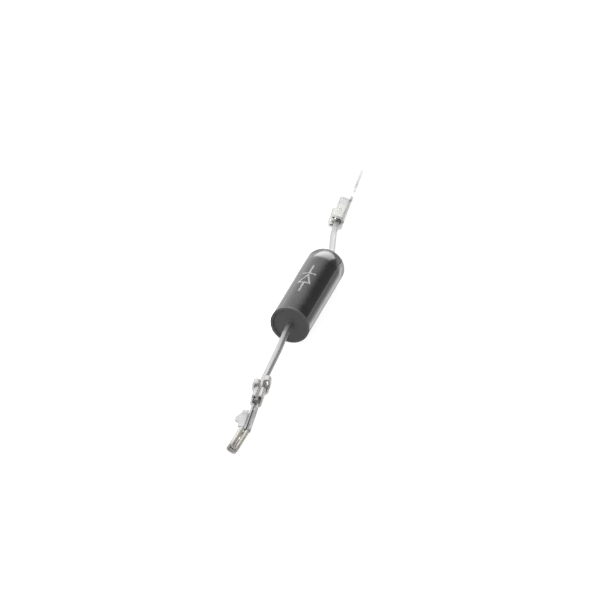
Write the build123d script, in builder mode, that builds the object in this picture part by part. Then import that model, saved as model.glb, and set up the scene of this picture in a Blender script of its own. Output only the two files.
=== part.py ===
"""High-voltage rectifier of a microwave oven, with a ring terminal and a push-on receptacle.

A black moulded cup holds a column of silicon dice between the nail heads of two tinned leads, and is
filled with resin. The cathode lead ends in a crimped ring terminal, and the anode lead in a crimped
receptacle. Millimetres, +Z up, +X along the body towards the ring. The part lies on the plane Z = 0, on
the body, on the rim of the ring and on the edge of the receptacle, and its origin is the middle of its
footprint.
"""
from build123d import *
from math import sqrt
import os

os.makedirs("parts", exist_ok=True)

# Moulded cup
body_d = 7.5
body_len = 22.0
shell_wall = 0.45
shell_end = 1.3
shell_end_r = 1.25
seam_w = 0.12
seam_h = 0.04
seam_tilt = 30.0

# Resin in the mouth of the cup, which creeps up the wall and the lead in a hollow curve
resin_recess = 0.3
resin_creep = 0.25
resin_bow = 0.08
resin_lip = 0.03

# Leads, one piece each with their nail heads
lead_d = 1.2
head_d = 3.0
head_t = 0.5
head_cone = 0.6
wire_tail = 0.6
lead_in = 0.8

# Column of square dice with solder between them, under a junction coating
die_count = 12
die_side = 2.1
die_t = 0.26
solder_side = 1.96
solder_t = 0.06
coating_d = 4.4
coating_lap = 0.35

# Sheet metal and fits
fit = 0.02
tip_gap = 0.06
crimp_slack = 0.05
barrel_bend = 0.62
grip_bend = 0.75
web_h = 0.9
carrier_stub = 0.5
carrier_w = 1.3

# Ring terminal, measured along it from its wire end
ring_sheet = 0.5
ring_d = 8.0
ring_hole = 4.3
ring_reach = 14.7
ring_neck_w = 2.6
ring_neck_r = 1.0
ring_grip_len = 2.5
ring_grip_w = 3.1
ring_grip_h = 2.9
ring_grip_curl = 0.42
ring_grip_turn = 215
ring_gap = 0.7
ring_barrel_len = 4.1

# Receptacle terminal, measured along it from its wire end
socket_sheet = 0.35
grip_len = 2.6
grip_w = 3.0
grip_h = 2.6
grip_curl = 0.48
grip_turn = 200
web_gap = 0.4
barrel_len = 2.5
bell_len = 1.0
neck_len = 7.6
neck_w = 1.2
neck_h = 0.95
neck_bend = 0.3
twist_len = 0.9

# Ear on one wall of the neck: a flat tab with a slanted margin and a lip at its wire end
ear_start = 9.7
ear_len = 4.0
ear_flat = 1.05
ear_margin = 0.95
ear_slant = 28.0
ear_bend = 0.35
ear_front_w = 1.2
ear_lip = 0.45
ear_lip_tilt = 50.0

# Socket of the receptacle: a folded box, open along its top, with a contact spring inside
socket_w = 1.9
socket_t = 1.9
socket_len = 5.3
socket_bend = 0.4
socket_curl = 0.24
socket_tip = 0.2
spring_w = 0.9
spring_t = 0.25
spring_start = 0.6
spring_len = 4.0
spring_h = 0.8

# Routes of the leads: distance from the body's end, and how far to the left of its axis
cathode_corners = [(2.7, 0.0), (10.0, 1.9)]
cathode_radii = [12.0, 8.0, 6.0]
cathode_end = (13.27, 2.28)
anode_corners = [(1.5, 0.0), (7.5, -0.37)]
anode_radii = [20.0, 40.0, 8.0]
anode_end = (17.15, -0.65)

# How the terminals lie: heading away from the body's axis, fall, lean of the open side, and the offset,
# yaw and roll that the socket takes in the twist of its neck
ring_heading = 6.4
ring_fall = 0.0
ring_lean = 17.4
socket_heading = 6.6
socket_fall = 3.5
socket_lean = 92.6
socket_offset = -0.95
socket_yaw = -9.0
socket_roll = -29.7

axis_z = body_d / 2
half_len = body_len / 2
lead_r = lead_d / 2
stack_len = die_count * die_t + (die_count + 1) * solder_t
ring_wire_h = ring_sheet / 2 + fit + lead_r
socket_wire_h = socket_sheet / 2 + fit + lead_r


def lying_plane(end, heading, fall, lean, wire_h, towards_ring):
    """Plane of a terminal's sheet: X runs away from the wire, and Z to the open side of the crimp."""
    sense = 1 if towards_ring else -1
    forward = Vector(sense, 0, 0).rotate(Axis.Z, heading)
    level_side = forward.cross(Vector(0, 0, 1))
    along = forward.rotate(Axis((0, 0, 0), level_side), -fall)
    level_open = (Vector(0, 1, 0) - along * along.Y).normalized()
    open_side = level_open.rotate(Axis((0, 0, 0), along), sense * lean)
    reach, left = end
    wire = Vector(sense * (half_len + reach), left, 0)
    return Plane(wire - open_side * wire_h, x_dir=along, z_dir=open_side)


def lifted(plane, height):
    """The same plane, moved straight up."""
    return Plane(plane.origin + Vector(0, 0, height), x_dir=plane.x_dir, z_dir=plane.z_dir)


def across(plane, x):
    """Cross-section plane of a terminal, at a distance along it."""
    return Plane(plane.from_local_coords((x, 0, 0)), x_dir=plane.y_dir, z_dir=plane.x_dir)


def side_on(plane, y=0):
    """Lengthwise plane of a terminal, seen from its side."""
    return Plane(plane.from_local_coords((0, y, 0)), x_dir=plane.x_dir, z_dir=-plane.y_dir)


def twisted(plane, x, y, yaw, roll):
    """Plane of the sheet beyond a sideways bend and a twist."""
    along = plane.x_dir.rotate(Axis((0, 0, 0), plane.z_dir), yaw)
    open_side = plane.z_dir.rotate(Axis((0, 0, 0), along), roll)
    return Plane(plane.from_local_coords((x, y, 0)), x_dir=along, z_dir=open_side)


# The ring stands on its rim
ring_flat = lying_plane(cathode_end, ring_heading, ring_fall, ring_lean, ring_wire_h, True)
rim_drop = ring_d / 2 * sqrt(1 - ring_flat.z_dir.Z**2) + ring_sheet / 2 * abs(ring_flat.z_dir.Z)
ring_plane = lifted(ring_flat, rim_drop - ring_flat.from_local_coords((ring_reach, 0, 0)).Z)

# The receptacle rests on the lower edge of its mouth
barrel_start = grip_len + web_gap
bell_start = barrel_start + barrel_len
neck_start = bell_start + bell_len
neck_end = neck_start + neck_len
socket_start = neck_end + twist_len
crimp_flat = lying_plane(anode_end, socket_heading, socket_fall, socket_lean, socket_wire_h, False)
socket_flat = twisted(crimp_flat, socket_start, socket_offset, socket_yaw, socket_roll)
edge_r = socket_bend + socket_sheet / 2
edge_heights = [
    socket_flat.from_local_coords((socket_len, side * (socket_w / 2 - edge_r), socket_bend)).Z
    for side in (-1, 1)
]
edge_drop = edge_r * sqrt(1 - socket_flat.x_dir.Z**2)
crimp_plane = lifted(crimp_flat, edge_drop - min(edge_heights))
socket_plane = twisted(crimp_plane, socket_start, socket_offset, socket_yaw, socket_roll)

# Body shell: a cup with a rounded closed end, a hole for the lead and a fine line of flash
axle = Axis((0, 0, axis_z), (1, 0, 0))
half_section = Plane((0, 0, axis_z), x_dir=(1, 0, 0), z_dir=(0, -1, 0))
seam_section = half_section.rotated((90 - seam_tilt, 0, 0))
shell_bore_r = body_d / 2 - shell_wall
lead_hole_r = lead_r + fit
cavity_end = half_len - shell_end

with BuildPart() as body_shell:
    with BuildSketch(half_section):
        with BuildLine():
            Polyline(
                (-half_len, 0), (-half_len, body_d / 2), (half_len, body_d / 2), (half_len, 0), close=True
            )
        make_face()
        fillet(vertices().group_by(Axis.X)[-1].sort_by(Axis.Y)[-1], shell_end_r)
    revolve(axis=axle)
    with BuildSketch(seam_section):
        Rectangle(body_len + 2 * seam_h, body_d + 2 * seam_h)
        fillet(vertices().group_by(Axis.X)[-1], shell_end_r + seam_h)
    extrude(amount=seam_w / 2, both=True)
    with BuildSketch(half_section):
        with BuildLine():
            Polyline(
                (-half_len - seam_w, 0),
                (-half_len - seam_w, body_d),
                (-half_len, body_d),
                (-half_len, shell_bore_r),
                (cavity_end, shell_bore_r),
                (cavity_end, lead_hole_r),
                (half_len + shell_end, lead_hole_r),
                (half_len + shell_end, 0),
                close=True,
            )
        make_face()
    revolve(axis=axle, mode=Mode.SUBTRACT)


def lead_route(corners, end_plane, wire_h, sheet_reach, towards_ring):
    """Corners of a lead's centreline, from the middle of the body into its crimp."""
    sense = 1 if towards_ring else -1
    entry = end_plane.from_local_coords((-lead_in, 0, wire_h))
    tip = end_plane.from_local_coords((sheet_reach, 0, wire_h))
    first = corners[0][0]
    span = abs(entry.X) - half_len - first
    rise = entry.Z - axis_z
    points = [Vector(sense * stack_len / 2, 0, axis_z)]
    for reach, left in corners:
        points.append(Vector(sense * (half_len + reach), left, axis_z + rise * (reach - first) / span))
    return points + [entry, tip]


def lead(points, radii, sense):
    """Drawn wire with a nail head and a short cone behind the head."""
    with BuildPart() as wire:
        with BuildLine() as path:
            FilletPolyline(*points, radius=radii)
        with BuildSketch(Plane(points[0], x_dir=(0, 1, 0), z_dir=(sense, 0, 0))):
            Circle(lead_r)
        sweep(path=path.line)
        with BuildSketch(half_section):
            with BuildLine():
                Polyline(
                    (sense * stack_len / 2, 0),
                    (sense * stack_len / 2, head_d / 2),
                    (sense * (stack_len / 2 + head_t), head_d / 2),
                    (sense * (stack_len / 2 + head_t + head_cone), lead_r),
                    (sense * (stack_len / 2 + head_t + head_cone), 0),
                    close=True,
                )
            make_face()
        revolve(axis=axle)
    return wire


ring_wire_end = ring_grip_len + ring_gap + ring_barrel_len + wire_tail
socket_wire_end = grip_len + web_gap + barrel_len + wire_tail
cathode_route = lead_route(cathode_corners, ring_plane, ring_wire_h, ring_wire_end, True)
anode_route = lead_route(anode_corners, crimp_plane, socket_wire_h, socket_wire_end, False)
cathode_lead = lead(cathode_route, cathode_radii, 1)
anode_lead = lead(anode_route, anode_radii, -1)

# Column of dice and solder, stacked along the axis
pieces = []
slab_start = -stack_len / 2
for number in range(1, die_count + 2):
    with BuildPart() as solder:
        with BuildSketch(Plane((slab_start, 0, axis_z), x_dir=(0, 1, 0), z_dir=(1, 0, 0))):
            Rectangle(solder_side, solder_side)
        extrude(amount=solder_t)
    solder.part.label = f"solder_layer_{number:02d}"
    pieces.append(solder.part)
    slab_start += solder_t
    if number <= die_count:
        with BuildPart() as die:
            with BuildSketch(Plane((slab_start, 0, axis_z), x_dir=(0, 1, 0), z_dir=(1, 0, 0))):
                Rectangle(die_side, die_side)
            extrude(amount=die_t)
        die.part.label = f"silicon_die_{number:02d}"
        pieces.append(die.part)
        slab_start += die_t

# Junction coating: a bead over the column, tapered down to the edges of both heads
coating_half = stack_len / 2 + coating_lap
with BuildPart() as junction_coating:
    with BuildSketch(half_section):
        with BuildLine():
            Polyline(
                (-coating_half, 0),
                (-coating_half, head_d / 2 + fit),
                (-stack_len / 2, coating_d / 2),
                (stack_len / 2, coating_d / 2),
                (coating_half, head_d / 2 + fit),
                (coating_half, 0),
                close=True,
            )
        make_face()
    revolve(axis=axle)
    add([cathode_lead.part, anode_lead.part, *pieces], mode=Mode.SUBTRACT)

# Resin: fills the cup round the column and the leads
resin_face = -half_len + resin_recess
creep_end = resin_face - resin_creep
bow_end = resin_face - resin_bow
with BuildPart() as potting_resin:
    with BuildSketch(half_section):
        with BuildLine():
            Polyline(
                (creep_end, 0),
                (creep_end, lead_r + resin_lip),
                (bow_end, lead_r + resin_lip + resin_bow),
                (resin_face, lead_r + resin_lip + resin_creep),
                (resin_face, shell_bore_r - resin_lip - resin_creep),
                (bow_end, shell_bore_r - resin_lip - resin_bow),
                (creep_end, shell_bore_r - resin_lip),
                (creep_end, shell_bore_r),
                (cavity_end, shell_bore_r),
                (cavity_end, 0),
                close=True,
            )
        make_face()
    revolve(axis=axle)
    add(
        [cathode_lead.part, anode_lead.part, junction_coating.part, *pieces], mode=Mode.SUBTRACT
    )


def folded_strip(plane, start, length, half_w, bend_r, wall_top, sheet, curl_r=0, curl_turn=0, tip=0):
    """Sheet folded up along both edges, with the edges curled inwards, over a length of a terminal."""
    wall_y = half_w - sheet / 2
    with BuildSketch(across(plane, start)) as section:
        with BuildLine():
            floor = Line((0, 0), (wall_y - bend_r, 0))
            corner = JernArc(floor @ 1, floor % 1, bend_r, 90)
            edge = Line(corner @ 1, (wall_y, wall_top))
            if curl_turn:
                edge = JernArc(edge @ 1, edge % 1, curl_r, curl_turn)
            if tip:
                Line(edge @ 1, (edge @ 1) + (edge % 1) * tip)
            mirror(about=Plane.YZ)
        trace(line_width=sheet)
    extrude(section.sketch, amount=length, dir=plane.x_dir)


def barrel(plane, start, length, sheet):
    """Closed crimp: both edges turn over and press their tips on the wire."""
    half_w = lead_r + fit + crimp_slack + sheet
    curl_r = (half_w - sheet - tip_gap / 2) / 2
    wire_top = sheet / 2 + fit + lead_d + fit
    folded_strip(plane, start, length, half_w, barrel_bend, wire_top, sheet, curl_r, 180)


def flat_bar(plane, start, end, width, sheet):
    """Flat length of the strip."""
    with BuildSketch(plane) as outline:
        with Locations(((start + end) / 2, 0)):
            Rectangle(end - start, width)
    extrude(outline.sketch, amount=sheet / 2, both=True)


# Ring terminal: open grip, closed barrel and ring, stamped from one strip
ring_half_w = lead_r + fit + crimp_slack + ring_sheet
ring_barrel_start = ring_grip_len + ring_gap
ring_barrel_end = ring_barrel_start + ring_barrel_len
ring_grip_top = ring_grip_h - ring_sheet - ring_grip_curl

with BuildPart() as ring_terminal:
    with BuildSketch(ring_plane):
        with Locations((ring_reach, 0)):
            Circle(ring_d / 2)
        with Locations(((ring_reach + ring_barrel_end) / 2, 0)):
            Rectangle(ring_reach - ring_barrel_end, ring_neck_w)
        fillet(vertices().group_by(Axis.X)[1], ring_neck_r)
    extrude(amount=ring_sheet / 2, both=True)
    barrel(ring_plane, ring_barrel_start, ring_barrel_len, ring_sheet)
    folded_strip(ring_plane, ring_grip_len, ring_gap, ring_half_w, barrel_bend, web_h, ring_sheet)
    folded_strip(
        ring_plane, 0, ring_grip_len, ring_grip_w / 2, grip_bend, ring_grip_top, ring_sheet,
        ring_grip_curl, ring_grip_turn,
    )
    flat_bar(ring_plane, -carrier_stub, 0, carrier_w, ring_sheet)
    with BuildSketch(ring_plane):
        with Locations((ring_reach, 0)):
            Circle(ring_hole / 2)
    extrude(amount=ring_sheet, both=True, mode=Mode.SUBTRACT)

# Ear of the receptacle: the neck's wall, turned out into a tab
socket_half_w = lead_r + fit + crimp_slack + socket_sheet
neck_wall_y = (neck_w - socket_sheet) / 2
ear_z = neck_h - socket_sheet
ear_reach = neck_wall_y + ear_bend + ear_flat

with BuildPart() as ear:
    with BuildSketch(across(crimp_plane, ear_start)):
        with BuildLine():
            ear_floor = Line((0, 0), (neck_bend - neck_wall_y, 0))
            ear_corner = JernArc(ear_floor @ 1, ear_floor % 1, neck_bend, -90)
            ear_wall = Line(ear_corner @ 1, (-neck_wall_y, max(ear_z - ear_bend, neck_bend + fit)))
            ear_turn = JernArc(ear_wall @ 1, ear_wall % 1, ear_bend, 90)
            ear_top = Line(ear_turn @ 1, (ear_turn @ 1) - (ear_flat, 0))
            ear_fall = JernArc(ear_top @ 1, ear_top % 1, ear_bend, ear_slant)
            Line(ear_fall @ 1, (ear_fall @ 1) + (ear_fall % 1) * ear_margin)
        trace(line_width=socket_sheet)
    extrude(amount=ear_len)
    with BuildSketch(crimp_plane):
        with BuildLine():
            Polyline(
                (ear_start, 0),
                (ear_start, -ear_reach),
                (ear_start + ear_margin, -ear_reach - ear_margin),
                (ear_start + 2 * ear_margin, -ear_reach - ear_margin),
                (ear_start + 3 * ear_margin, -ear_reach),
                (ear_start + ear_len, -neck_w / 2 - ear_front_w),
                (ear_start + ear_len, 0),
                close=True,
            )
        make_face()
        fillet(vertices().group_by(Axis.Y)[0], ear_margin / 2)
    extrude(amount=ear_reach, both=True, mode=Mode.INTERSECT)
    with BuildSketch(side_on(crimp_plane, -neck_wall_y - ear_bend)):
        with BuildLine():
            lip_turn = JernArc((ear_start + fit, ear_z), (-1, 0), ear_bend, -ear_lip_tilt)
            Line(lip_turn @ 1, (lip_turn @ 1) + (lip_turn % 1) * ear_lip)
        trace(line_width=socket_sheet)
    extrude(amount=ear_flat)

# Grip of the receptacle: its wings are staggered, one behind the other
grip_top = grip_h - socket_sheet - grip_curl
with BuildPart() as grip:
    folded_strip(
        crimp_plane, 0, grip_len, grip_w / 2, grip_bend, grip_top, socket_sheet, grip_curl, grip_turn
    )
    with BuildSketch(crimp_plane.offset(web_h)):
        with Locations((0, -grip_w / 2), (grip_len, grip_w / 2)):
            Rectangle(grip_len, grip_w)
    extrude(amount=grip_h, mode=Mode.SUBTRACT)

# Receptacle terminal: open grip, closed barrel, bell, neck with its ear, twist and folded socket
socket_top = socket_t - socket_sheet - socket_curl

with BuildPart() as receptacle_terminal:
    folded_strip(crimp_plane, grip_len, web_gap, socket_half_w, barrel_bend, web_h, socket_sheet)
    folded_strip(crimp_plane, bell_start, bell_len, socket_half_w, barrel_bend, neck_h, socket_sheet)
    folded_strip(
        crimp_plane, neck_start, neck_len, neck_w / 2, neck_bend, neck_h - socket_sheet / 2, socket_sheet
    )
    add(ear.part)
    add(grip.part)
    barrel(crimp_plane, barrel_start, barrel_len, socket_sheet)
    flat_bar(crimp_plane, -carrier_stub, 0, carrier_w, socket_sheet)
    folded_strip(
        socket_plane, 0, socket_len, socket_w / 2, socket_bend, socket_top, socket_sheet,
        socket_curl, 180, socket_tip,
    )
    with BuildSketch(across(crimp_plane, neck_end)) as neck_section:
        Rectangle(neck_w - 2 * neck_bend, socket_sheet)
    with BuildSketch(across(socket_plane, 0)) as socket_section:
        Rectangle(socket_w - 2 * socket_bend, socket_sheet)
    loft([neck_section.sketch, socket_section.sketch])
    with BuildSketch(side_on(socket_plane)):
        with BuildLine():
            ThreePointArc(
                (spring_start, 0),
                (spring_start + spring_len / 2, spring_h),
                (spring_start + spring_len, spring_h / 2),
            )
        trace(line_width=spring_t)
    extrude(amount=spring_w / 2, both=True)

# The origin goes to the middle of the footprint
body_shell.part.label = "body_shell"
potting_resin.part.label = "potting_resin"
junction_coating.part.label = "junction_coating"
cathode_lead.part.label = "cathode_lead"
anode_lead.part.label = "anode_lead"
ring_terminal.part.label = "ring_terminal"
receptacle_terminal.part.label = "receptacle_terminal"
pieces += [
    body_shell.part, potting_resin.part, junction_coating.part, cathode_lead.part, anode_lead.part,
    ring_terminal.part, receptacle_terminal.part,
]
footprint = Compound(pieces).bounding_box()
to_origin = Location((-footprint.center().X, -footprint.center().Y, -footprint.min.Z))
for piece in pieces:
    label = piece.label
    placed = piece.moved(to_origin)
    placed.label = label
    export_step(placed, f"parts/{label}.step")
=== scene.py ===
"""Looks of a microwave oven rectifier diode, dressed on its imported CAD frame. Metres."""
import math

import bmesh
import bpy
from mathutils import Matrix, Vector


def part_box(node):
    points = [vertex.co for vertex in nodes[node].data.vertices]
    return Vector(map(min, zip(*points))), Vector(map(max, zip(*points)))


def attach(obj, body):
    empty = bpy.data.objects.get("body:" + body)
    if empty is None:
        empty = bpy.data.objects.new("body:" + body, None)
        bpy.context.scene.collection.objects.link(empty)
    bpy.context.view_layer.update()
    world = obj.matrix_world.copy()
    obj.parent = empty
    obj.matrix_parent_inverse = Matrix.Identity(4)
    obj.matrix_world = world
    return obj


MM = 0.001
white = (1, 1, 1, 1)

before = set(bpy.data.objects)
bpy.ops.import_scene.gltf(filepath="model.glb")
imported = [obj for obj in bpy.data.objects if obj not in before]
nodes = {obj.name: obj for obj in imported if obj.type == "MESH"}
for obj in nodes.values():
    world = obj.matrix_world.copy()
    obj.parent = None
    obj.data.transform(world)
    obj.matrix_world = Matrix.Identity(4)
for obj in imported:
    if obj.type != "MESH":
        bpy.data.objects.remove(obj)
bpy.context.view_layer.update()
scene = bpy.context.scene

# The body. The flash of its mould is turned from the top. The rim and the crown are measured from its middle.
shell_lo, shell_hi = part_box("body_shell")
body_centre = (shell_lo + shell_hi) / 2
body_r = 3.75 * MM
seam_turn = math.radians(30)
flash_edge = 0.2 * MM
flash_core = 0.05 * MM
rim_from = 10.6 * MM
rim_full = 10.9 * MM
crown_start = 6.7 * MM
crown_bend = 56.0

# The cathode lead's sides get a painted sheen, which grows from none to full between these
painted_sheen_from = 8 * MM
painted_sheen_full = 14 * MM

# The ring terminal, measured back from its tip, and the way that the ring's flat sides face
ring_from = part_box("ring_terminal")[1].x - 10.6 * MM
barrel_from = ring_from - 3.6 * MM
ring_heading = math.radians(6.4)
ring_lean = math.radians(17.4)
ring_facing = (
    -math.sin(ring_heading) * math.cos(ring_lean),
    math.cos(ring_heading) * math.cos(ring_lean),
    math.sin(ring_lean),
)

# The receptacle, from its mouth to its wire end
mouth_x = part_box("receptacle_terminal")[0].x
mouth_full = mouth_x + 0.5 * MM
mouth_to = mouth_x + 1.5 * MM
socket_to = mouth_x + 5.2 * MM
neck_to = socket_to + 7.4 * MM
ear_to = mouth_x + 10.5 * MM

# The line between the ear and the neck, seen from above, and half the width over which the tone changes
ear_line_start = (socket_to + 0.8 * MM, -1.9 * MM, 0)
ear_line_normal = (-0.117, 1, 0)
ear_line_soft = 0.15 * MM

# The polarity mark: a plain diode symbol, in millimetres along the body and round it
mark_angle = math.radians(86)
mark_middle = -0.5
mark_half_len = 4.6
mark_half_h = 1.3
mark_line = 0.34
arrow_half_len = 1.6
arrow_tip_inset = 2.2 * mark_line
arrow_corner_inset = 1.55 * mark_line
ink_lift = 0.018
band_steps = 14

# The pale floor glows all over, more on the left, and most in a strip on both sides of the body and far lead
floor_half = 4.0
plain_glow = 0.94
left_glow = 1.3
left_glow_from = 8 * MM
left_glow_full = 16 * MM
strip_glow = 1.3
strip_inner = 4.2 * MM
strip_inner_full = 5.4 * MM
strip_outer_full = 7 * MM
strip_outer = 11 * MM
strip_half_full = 19 * MM
strip_half_len = 23 * MM
strip_middle = body_centre + Vector((12 * MM, 0, 0))

# The sky, by the cosines of its directions: a wide light on the left, and a lamp beyond the far end
wide_direction = (0, 0.9, 0.44)
wide_from = -0.13
wide_full = 0.37
wide_dim = 0.45
wide_bright = 2.25
lamp_from = (0.85, -0.27, 0.02)
lamp_full = (0.88, -0.22, 0.1)
lamp_strength = 4.2

# The camera looks at the photo's angle, with the photo's scale at the body in pixels of a 600 wide image
image_width = 600
px_per_mm = 5.43
body_right_px = 8.45
body_above_px = 6.0
camera_distance = 1.1
camera_right = Vector((0.3123, -0.95, 0)).normalized()
towards_camera = Vector((-0.7958, -0.2616, 0.5461)).normalized()


class Tree:
    """Short ways to add nodes to a node tree."""

    def __init__(self, tree, coordinates):
        self.tree = tree
        self.at = self.node("ShaderNodeTexCoord").outputs[coordinates]

    def node(self, kind, **settings):
        made = self.tree.nodes.new(kind)
        for key, value in settings.items():
            setattr(made, key, value)
        return made

    def put(self, value, socket):
        """Links a socket, or sets a plain value."""
        if isinstance(value, bpy.types.NodeSocket):
            self.tree.links.new(value, socket)
        else:
            socket.default_value = value

    def math(self, operation, a, b=0.0):
        made = self.node("ShaderNodeMath", operation=operation)
        self.put(a, made.inputs[0])
        self.put(b, made.inputs[1])
        return made.outputs[0]

    def times(self, first, *others):
        """The product of all the values."""
        product = first
        for other in others:
            product = self.math("MULTIPLY", product, other)
        return product

    def ramp(self, fac, low, high, to_low=0.0, to_high=1.0):
        """Smooth step from to_low to to_high, as fac goes from low to high."""
        made = self.node("ShaderNodeMapRange", interpolation_type="SMOOTHSTEP")
        self.put(fac, made.inputs["Value"])
        self.put(low, made.inputs["From Min"])
        self.put(high, made.inputs["From Max"])
        self.put(to_low, made.inputs["To Min"])
        self.put(to_high, made.inputs["To Max"])
        return made.outputs["Result"]

    def axis(self, index):
        made = self.node("ShaderNodeSeparateXYZ")
        self.put(self.at, made.inputs[0])
        return made.outputs[index]

    def dot(self, vector, direction):
        made = self.node("ShaderNodeVectorMath", operation="DOT_PRODUCT")
        self.put(vector, made.inputs[0])
        self.put(direction, made.inputs[1])
        return made.outputs["Value"]

    def along(self, direction, start=(0, 0, 0)):
        """How far a point is from start, along a direction."""
        away = self.node("ShaderNodeVectorMath", operation="SUBTRACT")
        self.put(self.at, away.inputs[0])
        self.put(start, away.inputs[1])
        return self.dot(away.outputs[0], direction)

    def off(self, direction, start):
        """How far a point is from start to either side, along a direction."""
        return self.math("ABSOLUTE", self.along(direction, start))


class Look(Tree):
    """A procedural material, built from object coordinates in metres."""

    def __init__(self, name):
        self.material = bpy.data.materials.new(name)
        self.material.use_nodes = True
        super().__init__(self.material.node_tree, "Object")
        self.shader = self.tree.nodes["Principled BSDF"]

    def stretched(self, scale):
        made = self.node("ShaderNodeMapping")
        self.put(self.at, made.inputs["Vector"])
        made.inputs["Scale"].default_value = scale
        return made.outputs[0]

    def noise(self, size, detail=4.0, roughness=0.55, where=None):
        """Noise whose features are about size millimetres across."""
        made = self.node("ShaderNodeTexNoise")
        self.put(where or self.at, made.inputs["Vector"])
        made.inputs["Scale"].default_value = 1 / (size * MM)
        made.inputs["Detail"].default_value = detail
        made.inputs["Roughness"].default_value = roughness
        return made.outputs["Fac"]

    def varied(self, noise, low, high):
        """A value from low to high, which follows a noise."""
        return self.ramp(noise, low=0.3, high=0.7, to_low=low, to_high=high)

    def mix(self, fac, a, b):
        made = self.node("ShaderNodeMix", data_type="RGBA")
        self.put(fac, made.inputs["Factor"])
        self.put(a, made.inputs["A"])
        self.put(b, made.inputs["B"])
        return made.outputs["Result"]

    def cover(self, base, colour, mask, share):
        """Lays a share of a colour over the base, where the mask is 1."""
        return self.mix(self.times(mask, share), base, colour)

    def normal(self):
        return self.node("ShaderNodeNewGeometry").outputs["Normal"]

    def rounded(self, radius):
        """The surface's normal, with edges rounded by a radius in millimetres."""
        bevel = self.node("ShaderNodeBevel", samples=6)
        bevel.inputs["Radius"].default_value = radius * MM
        return bevel.outputs[0]

    def edges(self, radius):
        """1 on edges, and 0 on faces."""
        flat_cosine = 0.985
        edge_cosine = 0.86
        return self.ramp(self.dot(self.rounded(radius), self.normal()), flat_cosine, edge_cosine)

    def sides(self):
        """0 on faces that look up and to the left, and 1 on sides and undersides, where a painted sheen goes.
        """
        up_and_left = (0, 0.5, 0.87)
        top_cosine = 0.7
        side_cosine = 0.35
        return self.ramp(self.dot(self.normal(), up_and_left), top_cosine, side_cosine)

    def hollows(self):
        """1 deep in folds and hollows, and 0 on open faces, where painted bounce light goes."""
        open_share = 0.75
        deep_share = 0.3
        shade = self.node("ShaderNodeAmbientOcclusion", samples=8)
        shade.inputs["Distance"].default_value = 1.2 * MM
        return self.ramp(shade.outputs["AO"], open_share, deep_share)

    def bump(self, height, depth, strength=1.0, over=None):
        """A bump of a depth in millimetres, over another normal if there is one."""
        made = self.node("ShaderNodeBump")
        made.inputs["Strength"].default_value = strength
        made.inputs["Distance"].default_value = depth * MM
        self.put(height, made.inputs["Height"])
        if over:
            self.put(over, made.inputs["Normal"])
        self.put(made.outputs[0], self.shader.inputs["Normal"])
        return made.outputs[0]

    def finish(self, colour, roughness, metallic=0.0, ior=1.5):
        self.put(colour, self.shader.inputs["Base Color"])
        self.put(roughness, self.shader.inputs["Roughness"])
        self.shader.inputs["Metallic"].default_value = metallic
        self.shader.inputs["IOR"].default_value = ior
        return self.material


def grey(value, warm=0.0, green=0.0):
    """A grey, tinted by small shares from blue to red and towards green."""
    return (value * (1 + warm), value * (1 + green), value * (1 - warm), 1)


def moulding():
    """Glossy black, with rubbed patches, a line of flash and a dull rim."""
    look = Look("black_moulding")
    mottle = look.noise(2.5, detail=3)
    grain = look.noise(0.12, detail=5, roughness=0.6)
    rubbed = look.ramp(look.noise(1.1, detail=6, roughness=0.7), low=0.62, high=0.78)
    off_seam = look.off((0, math.sin(seam_turn), math.cos(seam_turn)), body_centre)
    flash = look.ramp(off_seam, flash_edge, flash_core)
    base = look.mix(mottle, grey(0.004), grey(0.008, warm=-0.03))
    base = look.cover(base, grey(0.018), rubbed, share=0.5)
    base = look.cover(base, grey(0.05), look.edges(0.12), share=0.35)
    base = look.cover(base, grey(0.09), flash, share=0.8)
    # The cup's rim is as dull as the resin in it
    rim = look.ramp(look.along((-1, 0, 0), body_centre), rim_from, rim_full)
    base = look.mix(rim, base, grey(0.048))
    roughness = look.varied(mottle, 0.15, 0.22)
    roughness = look.math("ADD", roughness, look.times(rim, 0.3))
    roughness = look.math("ADD", roughness, look.times(flash, 0.2))
    # The closed end catches the light as if it narrowed slightly
    past = look.along((1, 0, 0), (body_centre.x + crown_start, 0, 0))
    past = look.math("MAXIMUM", past, 0)
    crown = look.bump(look.times(past, past, -crown_bend), depth=1 / MM)
    look.bump(look.math("ADD", grain, look.times(mottle, 2.0)), depth=0.006, strength=0.35, over=crown)
    return look.finish(base, roughness, ior=1.4)


def resin():
    """Matte and cloudy, with fine grit."""
    look = Look("potting_resin")
    clouds = look.noise(0.9, detail=5, roughness=0.6)
    grit = look.noise(0.08, roughness=0.7)
    base = look.mix(clouds, grey(0.028), grey(0.058, warm=0.01))
    base = look.mix(look.ramp(grit, low=0.62, high=0.75), base, grey(0.09))
    look.bump(look.math("ADD", clouds, look.times(grit, 0.5)), depth=0.04, strength=0.6)
    return look.finish(base, look.varied(clouds, 0.5, 0.68), ior=1.4)


def coating():
    """Pale cast silicone."""
    look = Look("junction_coating")
    clouds = look.noise(0.7)
    base = look.mix(clouds, (0.5, 0.46, 0.38, 1), (0.66, 0.62, 0.54, 1))
    look.bump(clouds, depth=0.02, strength=0.4)
    return look.finish(base, look.varied(clouds, 0.35, 0.5))


def silicon():
    """Dark and satin, with fine lines from the saw."""
    look = Look("silicon")
    sawn = look.noise(0.15, roughness=0.5, where=look.stretched((1, 1, 12)))
    base = look.mix(sawn, (0.12, 0.12, 0.14, 1), (0.2, 0.2, 0.23, 1))
    look.bump(sawn, depth=0.004, strength=0.4)
    return look.finish(base, look.varied(sawn, 0.2, 0.4), metallic=0.6)


def solder():
    """Dull grey metal."""
    look = Look("solder")
    clouds = look.noise(0.3, detail=5, roughness=0.6)
    base = look.mix(clouds, grey(0.32), grey(0.42, warm=0.01))
    look.bump(clouds, depth=0.01, strength=0.5)
    return look.finish(base, look.varied(clouds, 0.35, 0.5), metallic=1.0)


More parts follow.
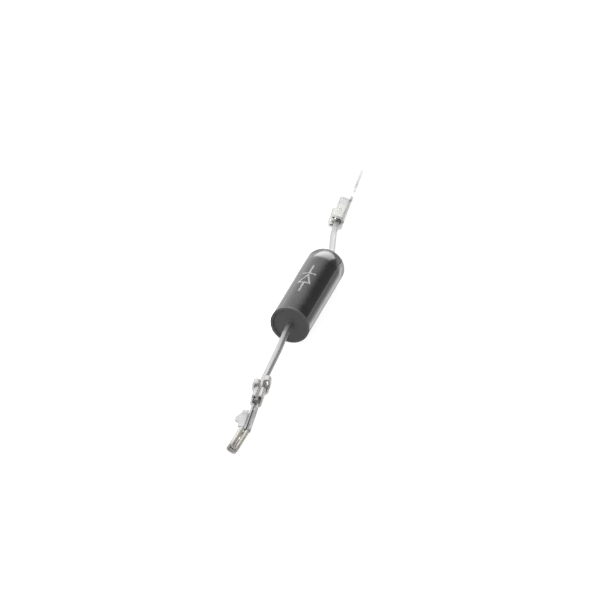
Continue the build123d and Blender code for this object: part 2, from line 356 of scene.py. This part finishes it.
def lead():
    """Tinned wire with drawn lines and small nicks, and a painted sheen on the sides of the cathode lead."""
    look = Look("tinned_wire")
    drawn = look.noise(0.35, detail=5, roughness=0.6, where=look.stretched((0.06, 1, 1)))
    clouds = look.noise(1.8)
    nicks = look.noise(0.5, detail=3, roughness=0.4, where=look.stretched((0.4, 1, 1)))
    nicks = look.ramp(nicks, low=0.68, high=0.74)
    base = look.mix(clouds, grey(0.29, warm=0.01), grey(0.34, warm=0.005))
    base = look.cover(base, grey(0.2, warm=0.04), nicks, share=0.5)
    # Painted sheen: the cathode lead's sides and undersides are painted brighter
    base = look.cover(base, grey(0.6), look.sides(), look.ramp(look.axis(0), painted_sheen_from, painted_sheen_full))
    look.bump(look.math("SUBTRACT", drawn, look.times(nicks, 0.6)), depth=0.006, strength=0.5)
    return look.finish(base, look.varied(clouds, 0.42, 0.52), metallic=1.0)


def terminal(name, pale, deep, bare, cut, painted_sheen, change, last):
    """Plated sheet that shows bare metal on its cut edges, with a painted sheen on its sides and painted
    bounce light in its folds.

    change is the x where a patchy tone starts, the x where it is full, and its colour. last is the function
    that adds the tones and the painted light of one terminal alone.
    """
    look = Look(name)
    clouds = look.noise(1.4)
    stamped = look.noise(0.25, detail=5, roughness=0.6, where=look.stretched((0.25, 1, 1)))
    spots = look.ramp(look.noise(0.45, detail=5, roughness=0.65), low=0.6, high=0.72)
    base = look.mix(clouds, pale, deep)
    base = look.cover(base, bare, spots, share=0.35)
    start, end, colour = change
    patchy = look.ramp(look.noise(1.2, roughness=0.6), low=0.3, high=0.6, to_low=0.55, to_high=0.95)
    base = look.cover(base, colour, look.ramp(look.axis(0), start, end), patchy)
    base = look.cover(base, cut, look.edges(0.07), share=0.45)
    # Painted sheen: the sides are painted brighter than the tops. Painted bounce light: the plating is
    # painted bright inside the folds
    base = look.cover(base, painted_sheen, look.sides(), share=0.8)
    base = look.mix(look.hollows(), base, grey(0.7, warm=0.01))
    base = last(look, base)
    look.bump(stamped, depth=0.005, strength=0.5, over=look.rounded(0.06))
    return look.finish(base, look.varied(clouds, 0.36, 0.48), metallic=0.85)


def ring_painted_light(look, base):
    """Painted shade on the ring's flat sides, and a painted highlight on its rim."""
    flat_cosine = 0.6
    rim_cosine = 0.3
    # Each face's direction decides between the rim's painted highlight and the flat sides' painted shade
    rim_highlight_mask = look.ramp(look.math("ABSOLUTE", look.dot(look.normal(), ring_facing)), flat_cosine, rim_cosine)
    in_ring = look.ramp(look.axis(0), ring_from, ring_from + 0.6 * MM)
    flat = look.mix(look.noise(1.8), grey(0.2), grey(0.27, warm=0.02))
    return look.mix(in_ring, base, look.mix(rim_highlight_mask, flat, grey(0.6)))


def receptacle_tone(look, base):
    """Painted shade on the neck beside the ear, and a brassy socket with a grey mouth and painted bounce
    light inside.
    """
    x = look.axis(0)
    past_socket = look.ramp(x, socket_to, socket_to + 0.4 * MM)
    before_grip = look.ramp(x, neck_to + 0.4 * MM, neck_to)
    beside_ear = look.ramp(look.along(ear_line_normal, ear_line_start), ear_line_soft, -ear_line_soft)
    drawn = look.noise(0.5, roughness=0.6, where=look.stretched((0.1, 1, 1)))
    painted_neck_shade = look.mix(look.ramp(drawn, low=0.35, high=0.65), grey(0.15), grey(0.3))
    # Painted shade: the neck between the socket and the grip, beside the ear, is painted darker
    base = look.cover(base, painted_neck_shade, look.times(past_socket, before_grip, beside_ear), share=0.9)
    socket = look.ramp(x, socket_to, socket_to - 0.8 * MM)
    base = look.cover(base, (0.4, 0.37, 0.31, 1), socket, share=0.65)
    mouth = look.ramp(x, mouth_to, mouth_full)
    base = look.cover(base, grey(0.27, warm=0.03), mouth, share=0.8)
    # Painted bounce light: the socket's inside is painted bright in its hollows
    return look.cover(base, grey(0.8, warm=0.02), socket, look.hollows())


def ink():
    """Pale, thin and patchy print."""
    look = Look("mark_ink")
    patchy = look.noise(0.3, detail=5, roughness=0.65)
    base = look.mix(look.ramp(patchy, low=0.38, high=0.62), grey(0.11), grey(0.31))
    look.bump(patchy, depth=0.005, strength=0.4)
    return look.finish(base, look.varied(patchy, 0.45, 0.6))


def paper():
    """The floor's sheet, which glows all over, more on the left, and most in the strips beside the body."""
    look = Look("pale_floor")
    base = look.mix(look.noise(300, detail=2), grey(0.1), grey(0.11))
    left = look.along((0, 1, 0), body_centre)
    glow = look.ramp(left, left_glow_from, left_glow_full, plain_glow, left_glow)
    beside = look.off((0, 1, 0), body_centre)
    strip = look.times(
        look.ramp(beside, strip_outer, strip_outer_full),
        look.ramp(beside, strip_inner, strip_inner_full),
        look.ramp(look.off((1, 0, 0), strip_middle), strip_half_len, strip_half_full),
        strip_glow,
    )
    look.put(look.math("ADD", glow, strip), look.shader.inputs["Emission Strength"])
    look.shader.inputs["Emission Color"].default_value = white
    look.shader.inputs["Specular IOR Level"].default_value = 0.0
    return look.finish(base, roughness=0.9)


def dress(name, material):
    for slot in nodes[name].material_slots:
        slot.material = material


def add_piece(name, built, material):
    """Turns a bmesh into an object of the scene, with one material."""
    mesh = bpy.data.meshes.new(name)
    built.to_mesh(mesh)
    built.free()
    mesh.materials.append(material)
    piece = bpy.data.objects.new(name, mesh)
    scene.collection.objects.link(piece)
    return piece


def bent(x, s, lift):
    """A point on the shell: x along it from its middle, and s round it from the mark's line."""
    angle = mark_angle + s * MM / body_r
    r = body_r + lift * MM
    return body_centre + Vector((x * MM, r * math.cos(angle), r * math.sin(angle)))


def band(mesh, a, b, c, d):
    """A strip of ink between the lines a-b and d-c, with a top and its four sides."""
    rows = []
    for i in range(band_steps + 1):
        t = i / band_steps
        near = [a[k] + (b[k] - a[k]) * t for k in (0, 1)]
        far = [d[k] + (c[k] - d[k]) * t for k in (0, 1)]
        rows.append([
            mesh.verts.new(bent(*near, -ink_lift)), mesh.verts.new(bent(*near, ink_lift)),
            mesh.verts.new(bent(*far, ink_lift)), mesh.verts.new(bent(*far, -ink_lift)),
        ])
    for first, second in zip(rows, rows[1:]):
        for k in range(4):
            mesh.faces.new((first[k], first[(k + 1) % 4], second[(k + 1) % 4], second[k]))
    mesh.faces.new(rows[0][::-1])
    mesh.faces.new(rows[-1])


def bar(mesh, x_from, x_to, half_h):
    """A rectangle of ink along the body."""
    band(mesh, (x_from, -half_h), (x_to, -half_h), (x_to, half_h), (x_from, half_h))


# The CAD nodes
dress("body_shell", moulding())
dress("potting_resin", resin())
dress("junction_coating", coating())
tinned = lead()
dress("cathode_lead", tinned)
dress("anode_lead", tinned)
dress("ring_terminal", terminal(
    "plated_ring",
    pale=grey(0.27, warm=0.02, green=0.025),
    deep=grey(0.33, warm=0.02, green=0.02),
    bare=(0.32, 0.31, 0.26, 1),
    cut=grey(0.36),
    painted_sheen=grey(0.6, warm=0.01, green=0.02),
    change=(barrel_from, barrel_from + 0.4 * MM, grey(0.26, warm=-0.02)),
    last=ring_painted_light,
))
dress("receptacle_terminal", terminal(
    "plated_receptacle",
    pale=grey(0.3, warm=0.015),
    deep=grey(0.36, warm=0.01),
    bare=(0.33, 0.31, 0.27, 1),
    cut=grey(0.36, warm=0.01),
    painted_sheen=grey(0.5, warm=0.01),
    change=(ear_to + 0.5 * MM, ear_to, grey(0.3)),
    last=receptacle_tone,
))
wafer = silicon()
joint = solder()
for name in nodes:
    if name.startswith("silicon_die"):
        dress(name, wafer)
    if name.startswith("solder_layer"):
        dress(name, joint)

# The polarity mark: an outlined arrow, a bar across its tip, and a line out of each end
arrow_back = mark_middle - arrow_half_len
arrow_tip = mark_middle + arrow_half_len
outer = [(arrow_back, -mark_half_h), (arrow_tip, 0), (arrow_back, mark_half_h)]
inner = [
    (arrow_back + mark_line, -mark_half_h + arrow_corner_inset),
    (arrow_tip - arrow_tip_inset, 0),
    (arrow_back + mark_line, mark_half_h - arrow_corner_inset),
]
symbol = bmesh.new()
for k in range(3):
    n = (k + 1) % 3
    band(symbol, outer[k], outer[n], inner[n], inner[k])
band(
    symbol, (arrow_tip, -mark_half_h), (arrow_tip, mark_half_h),
    (arrow_tip + mark_line, mark_half_h), (arrow_tip + mark_line, -mark_half_h),
)
bar(symbol, mark_middle - mark_half_len, arrow_back, mark_line / 2)
bar(symbol, arrow_tip + mark_line, mark_middle + mark_half_len, mark_line / 2)
bmesh.ops.recalc_face_normals(symbol, faces=symbol.faces)
mark = add_piece("polarity_mark", symbol, ink())
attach(mark, "root")

# The floor
sheet = bmesh.new()
bmesh.ops.create_grid(sheet, x_segments=8, y_segments=8, size=floor_half)
floor = add_piece("floor", sheet, paper())

# The light
world = bpy.data.worlds.new("studio")
scene.world = world
world.use_nodes = True
sky = Tree(world.node_tree, "Generated")
wide = sky.ramp(sky.along(wide_direction), wide_from, wide_full, wide_dim, wide_bright)
lamp_edges = [sky.ramp(sky.axis(k), lamp_from[k], lamp_full[k]) for k in range(3)]
lamp = sky.times(*lamp_edges, lamp_strength)
background = world.node_tree.nodes["Background"]
sky.put(sky.math("ADD", wide, lamp), background.inputs["Strength"])
background.inputs["Color"].default_value = white
scene.view_settings.view_transform = "Standard"

# The camera
camera_up = towards_camera.cross(camera_right)
aim = body_centre - (camera_right * body_right_px + camera_up * body_above_px) * MM / px_per_mm
camera_data = bpy.data.cameras.new("camera")
camera_data.sensor_width = 36
camera_data.lens = px_per_mm / MM * camera_distance * camera_data.sensor_width / image_width
camera_data.clip_start = 0.05
camera_data.clip_end = 20
camera = bpy.data.objects.new("camera", camera_data)
scene.collection.objects.link(camera)
camera_turn = Matrix((camera_right, camera_up, towards_camera)).transposed().to_4x4()
camera.matrix_world = Matrix.Translation(aim + towards_camera * camera_distance) @ camera_turn
scene.camera = camera
